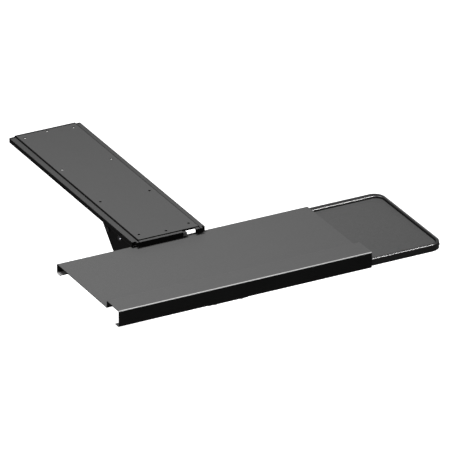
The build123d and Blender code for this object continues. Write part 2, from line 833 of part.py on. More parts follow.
pieces = {
    "desk_track": make_track(),
    "front_stop_bumpers": make_front_bumpers(),
    "rear_stop_bar": make_rear_stop(),
    "rear_stop_bumper": make_rear_bumper(),
    "carriage_plate": make_carriage(),
    "carriage_glide_shoes": make_shoes(),
    "swivel_disc": make_disc(),
    "swivel_bolt": make_swivel_bolt(),
    "swivel_washer": make_swivel_washer(),
    "swivel_nut": make_swivel_nut(),
    "swivel_bracket": make_bracket(),
    "lift_shaft": make_shaft(bracket_half, lift_pivot),
    "lift_shaft_rings": make_rings(bracket_half, lift_pivot),
    "lift_friction_washers": make_friction_washers(),
    "link_rear_pin": make_pin(bracket_half, link_rear),
    "lift_arm": make_arm(),
    "arm_side_pad": make_side_pad(),
    "arm_side_rivet": make_side_rivet(),
    "lift_clamp_nut": make_weld_nut(lift_nut_face, -1, guide_point),
    "lift_clamp_washer": make_clamp_washer(bracket_half, 1, guide_point),
    "lift_clamp_knob": make_knob(bracket_half, 1, guide_point),
    "lift_clamp_screw": make_clamp_screw(lift_nut_end, bracket_half, 1, guide_point),
    "arm_front_shaft": make_shaft(arm_half, arm_front),
    "arm_front_rings": make_rings(arm_half, arm_front),
    "levelling_link": make_link(),
    "tilt_head": make_head(),
    "link_front_pin": make_pin(head_half, link_front),
    "arm_front_spacers": make_spacers(head_half, arm_half - arm_sheet, arm_front),
    "tilt_spacers": make_spacers(head_half, cradle_half - cradle_sheet, tilt_pivot),
    "tilt_clamp_nut": make_weld_nut(tilt_nut_face, 1, tilt_clamp),
    "tilt_clamp_washer": make_clamp_washer(-cradle_half, -1, tilt_clamp),
    "tilt_clamp_knob": make_knob(-cradle_half, -1, tilt_clamp),
    "tilt_clamp_screw": make_clamp_screw(tilt_nut_end, -cradle_half, -1, tilt_clamp),
    "tilt_shaft": make_shaft(cradle_half, tilt_pivot),
    "tilt_shaft_rings": make_rings(cradle_half, tilt_pivot),
    "platform_bracket": make_cradle(),
    "platform_bracket_screws": make_cradle_screws(),
    "keyboard_platform": make_platform(),
    "tray_stop_pins": make_stop_pins(),
    "mouse_tray": make_tray(),
    "mouse_tray_mat": make_mat(),
    "mouse_tray_glides": make_glides(),
}

os.makedirs("parts", exist_ok=True)
for node, shape in pieces.items():
    if isinstance(shape, list):
        shape = Compound(children=[solid for item in shape for solid in item.solids()])
    export_step(shape, "parts/" + node + ".step")
    print(node, len(shape.solids()), "solids")
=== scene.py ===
import json
import math
import bpy
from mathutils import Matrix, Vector


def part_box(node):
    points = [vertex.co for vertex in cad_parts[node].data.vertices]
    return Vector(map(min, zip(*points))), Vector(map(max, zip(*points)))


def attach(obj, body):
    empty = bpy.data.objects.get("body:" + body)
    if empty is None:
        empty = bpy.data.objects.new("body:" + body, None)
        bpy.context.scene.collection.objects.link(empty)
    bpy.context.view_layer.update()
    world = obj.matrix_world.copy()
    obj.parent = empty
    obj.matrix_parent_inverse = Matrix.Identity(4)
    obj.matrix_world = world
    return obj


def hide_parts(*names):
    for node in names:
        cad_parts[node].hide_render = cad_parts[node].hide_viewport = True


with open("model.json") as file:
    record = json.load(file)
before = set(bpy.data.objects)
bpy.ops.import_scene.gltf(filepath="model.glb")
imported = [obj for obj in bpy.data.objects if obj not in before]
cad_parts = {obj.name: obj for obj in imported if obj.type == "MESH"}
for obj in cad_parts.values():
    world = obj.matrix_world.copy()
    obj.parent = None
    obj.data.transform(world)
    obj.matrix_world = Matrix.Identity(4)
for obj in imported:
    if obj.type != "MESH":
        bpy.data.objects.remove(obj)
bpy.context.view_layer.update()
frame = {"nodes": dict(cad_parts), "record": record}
mm = 0.001


# Small helpers

def hexColor(code):
    # sRGB hex to the linear values that Blender's sockets take
    parts = [int(code[i:i + 2], 16) / 255 for i in (1, 3, 5)]
    linear = [c / 12.92 if c <= 0.04045 else ((c + 0.055) / 1.055) ** 2.4 for c in parts]
    return (*linear, 1.0)


def feedNode(tree, node, inputs=None, links=None):
    # sets the fixed inputs and joins what feeds the others: a socket, or a node's first output
    for name, value in (inputs or {}).items():
        node.inputs[name].default_value = value
    for name, source in (links or {}).items():
        socket = source if isinstance(source, bpy.types.NodeSocket) else source.outputs[0]
        tree.links.new(socket, node.inputs[name])


def addNode(tree, kind, settings=None, inputs=None, links=None):
    node = tree.nodes.new(kind)
    for name, value in (settings or {}).items():
        setattr(node, name, value)
    feedNode(tree, node, inputs, links)
    return node


def newMaterial(name):
    material = bpy.data.materials.new(name)
    material.use_nodes = True
    tree = material.node_tree
    shader = tree.nodes["Principled BSDF"]
    place = addNode(tree, "ShaderNodeTexCoord").outputs["Object"]
    return material, tree, shader, place


def setRamp(node, places, codes):
    ramp = node.color_ramp
    stops = list(zip(places, map(hexColor, codes)))
    ramp.elements[0].position, ramp.elements[0].color = stops[0]
    ramp.elements[1].position, ramp.elements[1].color = stops[-1]
    for position, color in stops[1:-1]:
        ramp.elements.new(position).color = color


# Materials

mixColors = {"data_type": "RGBA"}
colorA, colorB, mixedColor = 6, 7, 2    # a Mix node's sockets when it mixes colours
smoothStep = {"interpolation_type": "SMOOTHSTEP"}

powderLook = {
    "name": "charcoalPowderCoat", "base": "#505050", "light": "#5a5a5a", "dark": "#474747",
    "upright": "#242424",      # painted shade: faces that stand upright are painted near black
    "toneStops": (0.3, 0.5, 0.72),
    "roughness": (0.38, 0.48), "cloudRange": (0.3, 0.7), "specular": 0.05,
    "peelSize": 1.6 * mm,      # orange peel of a baked powder coat
    "grainSize": 0.35 * mm,    # powder grain, drawn coarser than it is so that it shows
    "grainShare": 0.35,        # how high the grain stands against the peel
    "cloudSize": 90 * mm,      # slow drift of gloss over a panel
    "bump": {"Strength": 0.12, "Distance": 0.05 * mm},
    "paintedLitFrom": 0.35, "paintedLitFull": 0.9,    # how flat a face lies: 0 upright, 1 level
}
# painted shade: a darker copy of the charcoal coat for the mechanism's parts
mechanismLook = {
    **powderLook, "name": "blackPowderCoat",
    "base": "#303030", "light": "#383838", "dark": "#292929", "upright": "#070707",
}
# painted light: a lighter copy of the charcoal coat for the platform
platformLook = {
    **powderLook, "name": "charcoalPlatformCoat",
    "base": "#575757", "light": "#616161", "dark": "#4e4e4e", "upright": "#1e1e1e",
    # painted highlight along the front bend
    "paintedLight": "#c8c8c8",
    "paintedWidth": 1.9 * mm,      # how far the painted highlight reaches round the front bend
    "paintedCore": 0.6,            # share of that width that is fully pale
    # painted light on the rear lip, where the open end shows it
    "paintedLipLight": "#c6c6c6", "lipLightReach": 22 * mm, "lipThick": 1.5 * mm,
}
trackLook = {
    **powderLook, "name": "charcoalTrackCoat", "upright": "#070707", "paintedShade": "#0a0a0a",
    "stepFoot": 59 * mm,       # foot of the step, each side of the middle
    "creaseWidth": 1.0 * mm,   # painted shade: dark line at the foot of the step
    "endWidth": 4.0 * mm,      # painted shade: dark band along the rear end
    "stripShade": 0.2,         # painted shade: the strips beyond the step are this much darker
}


def rubBend(tree, place, look, bend, color):
    # painted highlight: a pale line is painted round the front bend
    flat = addNode(tree, "ShaderNodeVectorMath", {"operation": "MULTIPLY"},
                   {1: (0, 1, 1)}, {0: place})
    reach = addNode(tree, "ShaderNodeVectorMath", {"operation": "DISTANCE"},
                    {1: (0, *bend)}, {0: flat})
    paintedLight = addNode(tree, "ShaderNodeMapRange", smoothStep,
                     {"From Min": look["paintedWidth"] * look["paintedCore"],
                      "From Max": look["paintedWidth"], "To Min": 1.0, "To Max": 0.0},
                     {"Value": reach.outputs["Value"]})
    mix = addNode(tree, "ShaderNodeMix", mixColors, {colorB: hexColor(look["paintedLight"])},
                  {"Factor": paintedLight, colorA: color})
    return mix.outputs[mixedColor]


def dustLip(tree, place, facingUp, look, lip, color):
    # painted light: the rear lip is painted pale where the open end shows it
    rear, top = lip
    split = addNode(tree, "ShaderNodeSeparateXYZ", None, None, {0: place})
    level = addNode(tree, "ShaderNodeMath", {"operation": "COMPARE"},
                    {1: top, 2: look["lipThick"] / 2}, {0: split.outputs["Z"]})
    back = addNode(tree, "ShaderNodeMath", {"operation": "COMPARE"},
                   {1: rear, 2: look["lipLightReach"]}, {0: split.outputs["Y"]})
    lies = addNode(tree, "ShaderNodeMath", {"operation": "MULTIPLY"}, None, {0: level, 1: back})
    paintedLipLight = addNode(tree, "ShaderNodeMath", {"operation": "MULTIPLY", "use_clamp": True}, None,
                   {0: lies, 1: facingUp})
    mix = addNode(tree, "ShaderNodeMix", mixColors, {colorB: hexColor(look["paintedLipLight"])},
                  {"Factor": paintedLipLight, colorA: color})
    return mix.outputs[mixedColor]


def darkenStep(tree, place, look, rear, color):
    # painted shade: dark lines at the foot of the step and at the rear end, and darker strips
    # beyond the step
    split = addNode(tree, "ShaderNodeSeparateXYZ", None, None, {0: place})
    side = addNode(tree, "ShaderNodeMath", {"operation": "ABSOLUTE"}, None,
                   {0: split.outputs["X"]})
    near = addNode(tree, "ShaderNodeMath", {"operation": "COMPARE"},
                   {1: look["stepFoot"], 2: look["creaseWidth"]}, {0: side})
    end = addNode(tree, "ShaderNodeMath", {"operation": "COMPARE"},
                  {1: rear, 2: look["endWidth"]}, {0: split.outputs["Y"]})
    dark = addNode(tree, "ShaderNodeMath", {"operation": "MAXIMUM"}, None, {0: near, 1: end})
    beyond = addNode(tree, "ShaderNodeMath", {"operation": "GREATER_THAN"},
                     {1: look["stepFoot"]}, {0: side})
    shade = addNode(tree, "ShaderNodeMath", {"operation": "MULTIPLY"},
                    {1: look["stripShade"]}, {0: beyond})
    worst = addNode(tree, "ShaderNodeMath", {"operation": "MAXIMUM"}, None, {0: dark, 1: shade})
    mix = addNode(tree, "ShaderNodeMix", mixColors, {colorB: hexColor(look["paintedShade"])},
                  {"Factor": worst, colorA: color})
    return mix.outputs[mixedColor]


def powderCoatedSteel(look, bend=None, lip=None, rear=None):
    # Polyester powder on sheet steel: satin, faintly dimpled, a little uneven in gloss
    material, tree, shader, place = newMaterial(look["name"])
    peel = addNode(tree, "ShaderNodeTexNoise", None,
                   {"Scale": 1 / look["peelSize"], "Detail": 2.0, "Roughness": 0.4},
                   {"Vector": place})
    grain = addNode(tree, "ShaderNodeTexNoise", None,
                    {"Scale": 1 / look["grainSize"], "Detail": 1.0}, {"Vector": place})
    cloud = addNode(tree, "ShaderNodeTexNoise", None,
                    {"Scale": 1 / look["cloudSize"], "Detail": 3.0}, {"Vector": place})
    tone = addNode(tree, "ShaderNodeValToRGB", None, None, {"Fac": grain})
    setRamp(tone, look["toneStops"], (look["dark"], look["base"], look["light"]))
    gloss = addNode(tree, "ShaderNodeMapRange", None,
                    {"From Min": look["cloudRange"][0], "From Max": look["cloudRange"][1],
                     "To Min": look["roughness"][0], "To Max": look["roughness"][1]},
                    {"Value": cloud})
    height = addNode(tree, "ShaderNodeMath", {"operation": "MULTIPLY_ADD"},
                     {1: look["grainShare"]}, {0: grain, 2: peel})
    bump = addNode(tree, "ShaderNodeBump", None, look["bump"], {"Height": height})
    # painted light and shade: faces that lie flat take the lighter tones, upright faces the near
    # black one
    facing = addNode(tree, "ShaderNodeSeparateXYZ", None, None,
                     {0: place.node.outputs["Normal"]})
    flatness = addNode(tree, "ShaderNodeMath", {"operation": "ABSOLUTE"}, None,
                       {0: facing.outputs["Z"]})
    paintedTopLight = addNode(tree, "ShaderNodeMapRange", smoothStep,
                   {"From Min": look["paintedLitFrom"], "From Max": look["paintedLitFull"]},
                   {"Value": flatness})
    coat = addNode(tree, "ShaderNodeMix", mixColors, {colorA: hexColor(look["upright"])},
                   {"Factor": paintedTopLight, colorB: tone})
    color = coat.outputs[mixedColor]
    if bend:
        color = rubBend(tree, place, look, bend, color)
    if lip:
        color = dustLip(tree, place, facing.outputs["Z"], look, lip, color)
    if rear:
        color = darkenStep(tree, place, look, rear, color)
    feedNode(tree, shader, {"Specular IOR Level": look["specular"]},
             {"Base Color": color, "Roughness": gloss, "Normal": bump})
    return material


trayLook = {
    "base": "#060607", "dark": "#040405", "toneStops": (0.35, 0.65),
    "roughness": (0.3, 0.38), "specular": 0.42,
    "flowSize": 25 * mm,       # faint flow of the moulding
    # painted light on the crown of the right rim
    "paintedLight": "#4e4e4e",
    "paintedMiddle": 3 * mm, "paintedCore": 0.5 * mm, "paintedWidth": 2.2 * mm,    # in from the right edge
    "corner": 20 * mm,         # the painted light fades out over the corners
    "crownFrom": 0.75,         # how flat the rim lies where the painted light starts
}


def glossyTrayPlastic(look, low, high):
    # ABS from a polished mould: near black, its rounded rim mirrors the lamps
    material, tree, shader, place = newMaterial("glossyTrayPlastic")
    flow = addNode(tree, "ShaderNodeTexNoise", None,
                   {"Scale": 1 / look["flowSize"], "Detail": 4.0, "Distortion": 0.6},
                   {"Vector": place})
    tone = addNode(tree, "ShaderNodeValToRGB", None, None, {"Fac": flow})
    setRamp(tone, look["toneStops"], (look["dark"], look["base"]))
    gloss = addNode(tree, "ShaderNodeMapRange", None,
                    {"To Min": look["roughness"][0], "To Max": look["roughness"][1]},
                    {"Value": flow})
    # painted light: the crown of the right rim is painted grey
    split = addNode(tree, "ShaderNodeSeparateXYZ", None, None, {0: place})
    facing = addNode(tree, "ShaderNodeSeparateXYZ", None, None,
                     {0: place.node.outputs["Normal"]})
    halfDepth = (high[1] - low[1]) / 2
    bands = (
        ("X", high[0] - look["paintedMiddle"], look["paintedCore"], look["paintedWidth"]),
        ("Y", low[1] + halfDepth, halfDepth - look["corner"], halfDepth - look["corner"] / 2),
    )
    litCrown = addNode(tree, "ShaderNodeMapRange", smoothStep,
                   {"From Min": look["crownFrom"], "From Max": 1.0},
                   {"Value": facing.outputs["Z"]})
    for axis, middle, full, none in bands:
        away = addNode(tree, "ShaderNodeMath", {"operation": "SUBTRACT"},
                       {1: middle}, {0: split.outputs[axis]})
        reach = addNode(tree, "ShaderNodeMath", {"operation": "ABSOLUTE"}, None, {0: away})
        band = addNode(tree, "ShaderNodeMapRange", smoothStep,
                       {"From Min": full, "From Max": none, "To Min": 1.0, "To Max": 0.0},
                       {"Value": reach})
        litCrown = addNode(tree, "ShaderNodeMath", {"operation": "MULTIPLY"}, None,
                       {0: litCrown, 1: band})
    mix = addNode(tree, "ShaderNodeMix", mixColors, {colorB: hexColor(look["paintedLight"])},
                  {"Factor": litCrown, colorA: tone})
    feedNode(tree, shader, {"Specular IOR Level": look["specular"]},
             {"Base Color": mix.outputs[mixedColor], "Roughness": gloss})
    return material


matLook = {
    "base": "#545454", "light": "#606060", "dark": "#494949", "toneStops": (0.0, 0.4, 0.9),
    "roughness": 0.5, "specular": 0.05,
    "cellSize": 0.9 * mm,      # pebbled print of the sheet
    "bump": {"Strength": 0.2, "Distance": 0.06 * mm},
}


def pebbledMat(look):
    # Polyester sheet with a fine pebbled face: matt, with a slight mottle
    material, tree, shader, place = newMaterial("pebbledMat")
    cells = addNode(tree, "ShaderNodeTexVoronoi", None, {"Scale": 1 / look["cellSize"]},
                    {"Vector": place})
    tone = addNode(tree, "ShaderNodeValToRGB", None, None, {"Fac": cells})
    setRamp(tone, look["toneStops"], (look["light"], look["base"], look["dark"]))
    bump = addNode(tree, "ShaderNodeBump", {"invert": True}, look["bump"], {"Height": cells})
    feedNode(tree, shader,
             {"Roughness": look["roughness"], "Specular IOR Level": look["specular"]},
             {"Base Color": tone, "Normal": bump})
    return material


zincLook = {
    "base": "#b4b5b6", "dull": "#8e9092", "toneStops": (0.3, 0.65),    # blue-white zinc
    "roughness": (0.24, 0.4),
    "turningPitch": 0.5 * mm,  # marks left by turning, coarser than real so that they show
    "blotchSize": 6 * mm,      # uneven plating
}
oxideLook = {
    **zincLook, "base": "#39393b", "dull": "#262628",    # oiled black oxide
    "roughness": (0.26, 0.42),
}


def turnedSteel(name, look):
    # Turned steel under a thin finish: metal with faint streaks and uneven gloss
    material, tree, shader, place = newMaterial(name)
    streaks = addNode(tree, "ShaderNodeTexWave", {"bands_direction": "X"},
                      {"Scale": 0.5 / look["turningPitch"], "Distortion": 1.5, "Detail": 2.0},
                      {"Vector": place})
    blotch = addNode(tree, "ShaderNodeTexNoise", None,
                     {"Scale": 1 / look["blotchSize"], "Detail": 3.0}, {"Vector": place})
    tone = addNode(tree, "ShaderNodeValToRGB", None, None, {"Fac": blotch})
    setRamp(tone, look["toneStops"], (look["dull"], look["base"]))
    gloss = addNode(tree, "ShaderNodeMapRange", None,
                    {"To Min": look["roughness"][0], "To Max": look["roughness"][1]},
                    {"Value": streaks.outputs["Fac"]})
    feedNode(tree, shader, {"Metallic": 1.0}, {"Base Color": tone, "Roughness": gloss})
    return material


plasticLooks = {
    # slot: material, colour, darker patches, roughness, grain size
    "knob_plastic": ("knobNylon", "#202022", "#18181a", 0.5, 0.6 * mm),    # glass-filled, matt
    "black_nylon": ("glideNylon", "#1b1b1c", "#131314", 0.42, 0.8 * mm),   # slightly waxy
    "pale_nylon": ("washerNylon", "#d9d7d0", "#c9c6bd", 0.4, 0.8 * mm),    # natural, milky
    "black_rubber": ("stopRubber", "#161617", "#0e0e0f", 0.7, 1.0 * mm),   # moulded, dull
}
plasticToneStops = (0.35, 0.65)
plasticBump = {"Strength": 0.15, "Distance": 0.05 * mm}


def plainPlastic(name, base, dark, roughness, grainSize):
    # Moulded nylon or rubber: dull, with a fine grain and a faint change of tone
    material, tree, shader, place = newMaterial(name)
    grain = addNode(tree, "ShaderNodeTexNoise", None,
                    {"Scale": 1 / grainSize, "Detail": 3.0}, {"Vector": place})
    tone = addNode(tree, "ShaderNodeValToRGB", None, None, {"Fac": grain})
    setRamp(tone, plasticToneStops, (dark, base))
    bump = addNode(tree, "ShaderNodeBump", None, plasticBump, {"Height": grain})
    feedNode(tree, shader, {"Roughness": roughness}, {"Base Color": tone, "Normal": bump})
    return material


slotMaterials = {
    "powder_coat": powderCoatedSteel(powderLook),
    "tray_plastic": glossyTrayPlastic(trayLook, *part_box("mouse_tray")),
    "mat_sheet": pebbledMat(matLook),
    "zinc_steel": turnedSteel("zincPlatedSteel", zincLook),
    "black_oxide": turnedSteel("blackOxideSteel", oxideLook),
}
slotMaterials.update({slot: plainPlastic(*look) for slot, look in plasticLooks.items()})
for part in frame["record"]["subparts"]:
    for slot in frame["nodes"][part["node"]].material_slots:
        slot.material = slotMaterials[part["material_slot"]]

# these coats differ in tone and in painted light and shade from the plain charcoal one of their
# slot
platformLow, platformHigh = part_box("keyboard_platform")
paintedLightPlatformCoat = powderCoatedSteel(
    platformLook, bend=(platformLow[1], platformHigh[2]),
    lip=(platformHigh[1], platformLow[2] + platformLook["lipThick"]))
shadePaintedTrackCoat = powderCoatedSteel(trackLook, rear=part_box("desk_track")[1][1])
shadedMechanismCoat = powderCoatedSteel(mechanismLook)
coatOf = {
    "keyboard_platform": paintedLightPlatformCoat, "desk_track": shadePaintedTrackCoat,
    "swivel_bracket": shadedMechanismCoat, "lift_arm": shadedMechanismCoat, "levelling_link": shadedMechanismCoat,
    "tilt_head": shadedMechanismCoat, "platform_bracket": shadedMechanismCoat,
}
for name, coat in coatOf.items():
    for slot in frame["nodes"][name].material_slots:
        slot.material = coat
print("materials on", len(frame["nodes"]), "nodes")


# Modelling helpers

bevelAngle, smoothAngle = math.radians(40), math.radians(38)
past = 2 * mm                  # how far a cutter reaches past what it cuts
near = 1 * mm                  # how close to a place its edges are looked for
flatEnough = 0.9               # how level a face lies that is picked as a top or a bottom


def deselectAll():
    if bpy.context.object and bpy.context.object.mode != "OBJECT":
        bpy.ops.object.mode_set(mode="OBJECT")
    bpy.ops.object.select_all(action="DESELECT")


def selectOnly(piece):
    deselectAll()
    bpy.context.view_layer.objects.active = piece
    piece.select_set(True)


def settle():
    # sets the place, turn and size of what is selected into its mesh
    bpy.ops.object.transform_apply(location=True, rotation=True, scale=True)


def finishPiece(piece, name, body, slot, bevel=0.0, segments=3):
    # rounds, shades, sets the place into the mesh and lets the piece ride on its body
    selectOnly(piece)
    if bevel:
        modifier = piece.modifiers.new("edgeRound", "BEVEL")
        modifier.width, modifier.segments, modifier.angle_limit = bevel, segments, bevelAngle
        bpy.ops.object.modifier_apply(modifier=modifier.name)
    settle()
    bpy.ops.object.shade_smooth_by_angle(angle=smoothAngle)
    piece.name = piece.data.name = name
    piece.data.materials.clear()
    piece.data.materials.append(slotMaterials[slot])
    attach(piece, body)
    deselectAll()
    return piece


def cutWith(piece, cutter, operation="DIFFERENCE", solver="EXACT"):
    modifier = piece.modifiers.new("cut", "BOOLEAN")
    modifier.object, modifier.operation, modifier.solver = cutter, operation, solver
    selectOnly(piece)
    bpy.ops.object.modifier_apply(modifier=modifier.name)
    bpy.data.objects.remove(cutter, do_unlink=True)


def copyPiece(piece, move):
    # the same shape once more, with its own mesh
    copy = piece.copy()
    copy.data = piece.data.copy()
    bpy.context.collection.objects.link(copy)
    copy.location = move
    return copy


def endOn(node):
    # a node's box and, seen along the width, its middle
    low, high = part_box(node)
    return low, high, ((low[1] + high[1]) / 2, (low[2] + high[2]) / 2)


def rodAlongX(radius, xStart, xEnd, middle, vertices=48):
    bpy.ops.mesh.primitive_cylinder_add(
        vertices=vertices, radius=radius, depth=abs(xEnd - xStart),
        location=((xStart + xEnd) / 2, *middle), rotation=(0, math.radians(90), 0))
    return bpy.context.object


def addBox(centre, size):
    bpy.ops.mesh.primitive_cube_add(size=1, location=centre)
    box = bpy.context.object
    box.scale = size
    return box


# Clamp knobs

knobSize = {
    "lobes": 6, "scallop": 7 * mm, "scallopOut": 3.2 * mm, "edge": 0.8 * mm,
    "dishRadius": 10 * mm, "dishDepth": 1.2 * mm, "hubRadius": 9 * mm, "hubLength": 3 * mm,
    "flange": 5 * mm,          # round flange that the left knob keeps behind its grips
}


def clampKnob(name, node, body, outward):
    low, high, middle = endOn(node)
    radius = (high[2] - low[2]) / 2
    inner, outer = (low[0], high[0]) if outward > 0 else (high[0], low[0])
    rimStart = inner + outward * knobSize["hubLength"]
    gripStart = rimStart - knobSize["flange"]    # ahead of the right knob's rim, in the left one's
    knob = rodAlongX(radius, rimStart, outer, middle, 96)
    reach = radius + knobSize["scallopOut"]
    for lobe in range(knobSize["lobes"]):
        turn = lobe * math.tau / knobSize["lobes"]
        spot = (middle[0] + reach * math.cos(turn), middle[1] + reach * math.sin(turn))
        cutWith(knob, rodAlongX(knobSize["scallop"], gripStart, outer + outward * past, spot))
    cutWith(knob, rodAlongX(knobSize["dishRadius"], outer - outward * knobSize["dishDepth"],
                            outer + outward * past, middle, 64))
    cutWith(knob, rodAlongX(knobSize["hubRadius"], inner, rimStart + outward * past,
                            middle, 64), "UNION")
    finishPiece(knob, name, body, "knob_plastic", knobSize["edge"])
    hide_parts(node)


# Retaining clips: snap rings with three lugs, pushed on from below

clipSize = {
    "outer": 7 * mm, "inner": 4.1 * mm, "thick": 1 * mm, "edge": 0.15 * mm,
    "mouth": 5.4 * mm, "mouthOut": 6 * mm,
    "notch": 1.5 * mm, "notchOut": 4.6 * mm, "notchTurns": (-140, -40, 25, 155),
}


def retainingClips(name, node, body):
    low, high, middle = endOn(node)
    start, end = high[0] - clipSize["thick"], high[0]
    clip = rodAlongX(clipSize["outer"], start, end, middle, 64)
    cutWith(clip, rodAlongX(clipSize["inner"], start - past, end + past, middle))
    for turn in map(math.radians, clipSize["notchTurns"]):
        spot = (middle[0] + clipSize["notchOut"] * math.cos(turn),
                middle[1] + clipSize["notchOut"] * math.sin(turn))
        cutWith(clip, rodAlongX(clipSize["notch"], start - past, end + past, spot, 24))
    mouthOut = clipSize["mouthOut"]
    cutWith(clip, addBox((end, middle[0], middle[1] - mouthOut),
                         (mouthOut, clipSize["mouth"], mouthOut)))
    finishPiece(clip, name + "Right", body, "black_oxide", clipSize["edge"], 2)
    other = copyPiece(clip, (low[0] - start, 0, 0))
    finishPiece(other, name + "Left", body, "black_oxide")
    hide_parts(node)
    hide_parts(node)


# Bracket screws: countersunk heads with a cross recess, flush under the platform bracket

screwSize = {
    "shank": 2 * mm, "shankStart": 0.5 * mm, "head": 3.9 * mm, "headDepth": 1.9 * mm,
    "slotWidth": 0.9 * mm, "slotLength": 4.4 * mm, "slotDepth": 1.3 * mm, "edge": 0.12 * mm,
}


def bracketScrews():
    low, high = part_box("platform_bracket_screws")
    inset, depth = screwSize["head"], screwSize["headDepth"]
    spots = [(x, y) for x in (low[0] + inset, high[0] - inset)
             for y in (low[1] + inset, high[1] - inset)]
    x, y = spots[0]
    bpy.ops.mesh.primitive_cone_add(
        vertices=48, radius1=screwSize["head"], radius2=screwSize["shank"], depth=depth,
        location=(x, y, low[2] + depth / 2))
    screw = bpy.context.object
    shankLow = low[2] + screwSize["shankStart"]
    bpy.ops.mesh.primitive_cylinder_add(
        vertices=32, radius=screwSize["shank"], depth=high[2] - shankLow,
        location=(x, y, (high[2] + shankLow) / 2))
    cutWith(screw, bpy.context.object, "UNION")
    across, along = screwSize["slotWidth"], screwSize["slotLength"]
    for reach in ((along, across), (across, along)):
        cutWith(screw, addBox((x, y, low[2]), (*reach, screwSize["slotDepth"] * 2)))
    screws = [finishPiece(screw, "bracketScrew0", "platform", "zinc_steel", screwSize["edge"], 2)]
    for i, (otherX, otherY) in enumerate(spots[1:], 1):
        copy = copyPiece(screw, (otherX - x, otherY - y, 0))
        screws.append(finishPiece(copy, "bracketScrew" + str(i), "platform", "zinc_steel"))
    for piece in screws:
        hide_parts("platform_bracket_screws")


# Side rivet: a plain dome on the left wing

rivetSize = {"crown": 3 * mm, "shank": 2.6 * mm, "overlap": 1 * mm}


def sideRivet():
    low, high, middle = endOn("arm_side_rivet")
    radius, crown = (high[2] - low[2]) / 2, rivetSize["crown"]
    ball = (radius ** 2 + crown ** 2) / (2 * crown)    # the ball that the dome is a cap of
    wingFace = low[0] + crown
    bpy.ops.mesh.primitive_uv_sphere_add(
        segments=48, ring_count=32, radius=ball,
        location=(low[0] + ball, *middle), rotation=(0, math.radians(90), 0))
    rivet = bpy.context.object
    bpy.ops.object.mode_set(mode="EDIT")
    bpy.ops.mesh.select_all(action="SELECT")
    bpy.ops.mesh.bisect(plane_co=(wingFace, *middle), plane_no=(1, 0, 0),
                        clear_outer=True, use_fill=True)
    bpy.ops.object.mode_set(mode="OBJECT")
    shankStart = wingFace - rivetSize["overlap"]
    cutWith(rivet, rodAlongX(rivetSize["shank"], shankStart, high[0], middle), "UNION")
    finishPiece(rivet, "sideRivet", "bracket", "black_oxide")
    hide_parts("arm_side_rivet")


# Mouse tray: one moulding with a crowned rim, a seat for the mat and ribs below

traySize = {
    "rightCorner": 22 * mm, "rightSteps": 16, "leftCorner": 4 * mm, "leftSteps": 8,
    "margin": 0.1 * mm, "rim": 6 * mm, "crown": 2.6 * mm, "crownSteps": 6, "seatDepth": 4.8 * mm,
    "rearRimExtra": 3.5 * mm,  # the rear rim is broader by this
    "rearRimGain": 2.8 * mm,   # and here by this more than in CAD
    "wall": 3 * mm, "floor": 2.2 * mm,
    "ribs": 4, "rib": 2 * mm, "ribDrop": 4 * mm, "ribInset": 12 * mm, "ribOverlap": 0.5 * mm,
}
padSize = {"gap": 1.0 * mm, "edge": 0.3 * mm, "cornerSteps": 12}


def pick(mesh, kind, test):
    # selects, in edit mode, the points, edges or faces that pass a test
    bpy.ops.object.mode_set(mode="EDIT")
    bpy.ops.mesh.select_mode(type={"vertices": "VERT", "edges": "EDGE", "polygons": "FACE"}[kind])
    bpy.ops.mesh.select_all(action="DESELECT")
    bpy.ops.object.mode_set(mode="OBJECT")
    for item in getattr(mesh, kind):
        item.select = test(item)
    bpy.ops.object.mode_set(mode="EDIT")


def uprightEdges(mesh, x, tall=2 * mm):
    # edges that stand upright at one place along the width
    def test(edge):
        a, b = (mesh.vertices[i].co for i in edge.vertices)
        return abs(a.z - b.z) > tall and abs(a.x - x) < near and abs(b.x - x) < near
    return test


def facesUp(face):
    return face.normal.z > flatEnough


def facesDown(face):
    return face.normal.z < -flatEnough


def insetRound(radius, steps, rise):
    # a quarter round drawn by insets of the selected face, up to a crown or down from it
    angles = [math.pi / 2 * i / steps for i in range(steps + 1)]
    moves = [(radius * (math.cos(a) - math.cos(b)), radius * (math.sin(b) - math.sin(a)))
             for a, b in zip(angles, angles[1:])]
    for thickness, height in moves if rise else reversed(moves):
        bpy.ops.mesh.inset(thickness=thickness, depth=height if rise else -height)


def trayEnvelope(low, high):
    # a box a hair larger than the tray, with only the hidden end's corners rounded
    margin = Vector((1, 1, 1)) * traySize["margin"]
    envelope = addBox((low + high) / 2, high - low + margin)
    settle()
    pick(envelope.data, "edges", uprightEdges(envelope.data, low.x))
    bpy.ops.mesh.bevel(offset=traySize["leftCorner"], segments=traySize["leftSteps"])
    bpy.ops.object.mode_set(mode="OBJECT")
    return envelope


def trayRibs(low, high, ceiling):
    # centre and size of each rib under the tray's floor, those from front to rear ending
    # inside the outermost of the others
    wall, inset, rib = traySize["wall"], traySize["ribInset"], traySize["rib"]
    corner = wall + traySize["rightCorner"]
    middle = (low + high) / 2
    top, bottom = ceiling + traySize["ribOverlap"], ceiling - traySize["ribDrop"]
    z, tall = (bottom + top) / 2, top - bottom
    for i in range(traySize["ribs"]):
        share = i / (traySize["ribs"] - 1)
        y = low.y + inset + rib / 2 + share * (high.y - low.y - 2 * inset - rib)
        yield (middle.x, y, z), (high.x - low.x - wall, rib, tall)
        x = low.x + corner + rib / 2 + share * (high.x - low.x - 2 * corner - rib)
        yield (x, middle.y, z), (rib, high.y - low.y - 2 * inset - rib, tall)


